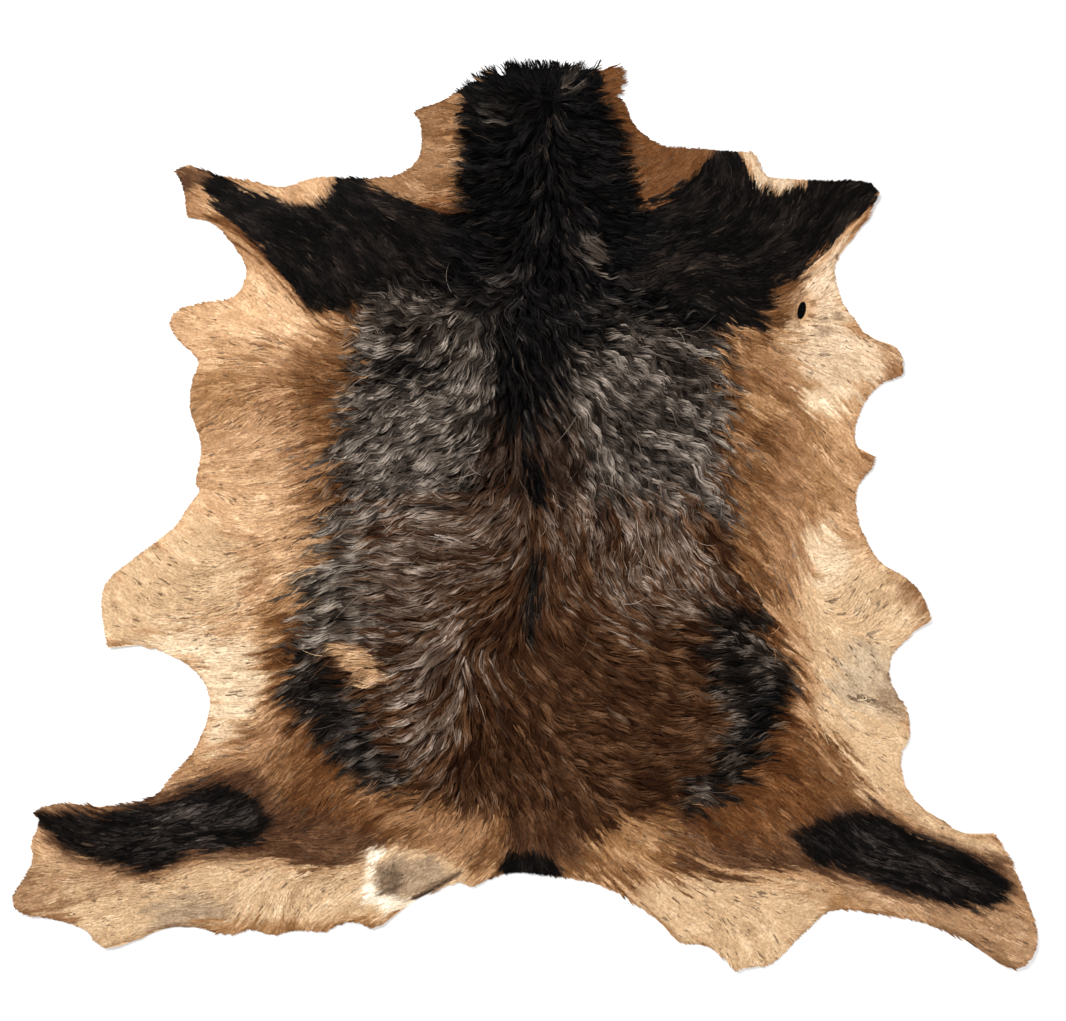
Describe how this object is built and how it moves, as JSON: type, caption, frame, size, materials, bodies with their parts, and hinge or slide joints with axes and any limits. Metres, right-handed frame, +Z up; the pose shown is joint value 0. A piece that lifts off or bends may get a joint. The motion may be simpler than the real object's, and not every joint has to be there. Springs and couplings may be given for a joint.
{
  "type": "goat hide rug, hair on",
  "caption": "Flat goat hide with its hair on: trimmed outline with neck, four legs and flank lobes, long waved hair on the back and short hair at the sides.",
  "frame": {"origin": "middle of the outline's box, on the surface that the hide lies on", "axes": "+Z up out of the hair, +Y towards the neck, +X to the right seen from above"},
  "size_m": [1.022, 0.907, 0.0164],
  "materials": {
    "hair": "goat hair, black, chestnut, tan and cream, satin"
  },
  "bodies": {
    "root": {"hide": "hair"}
  },
  "joints": []
}
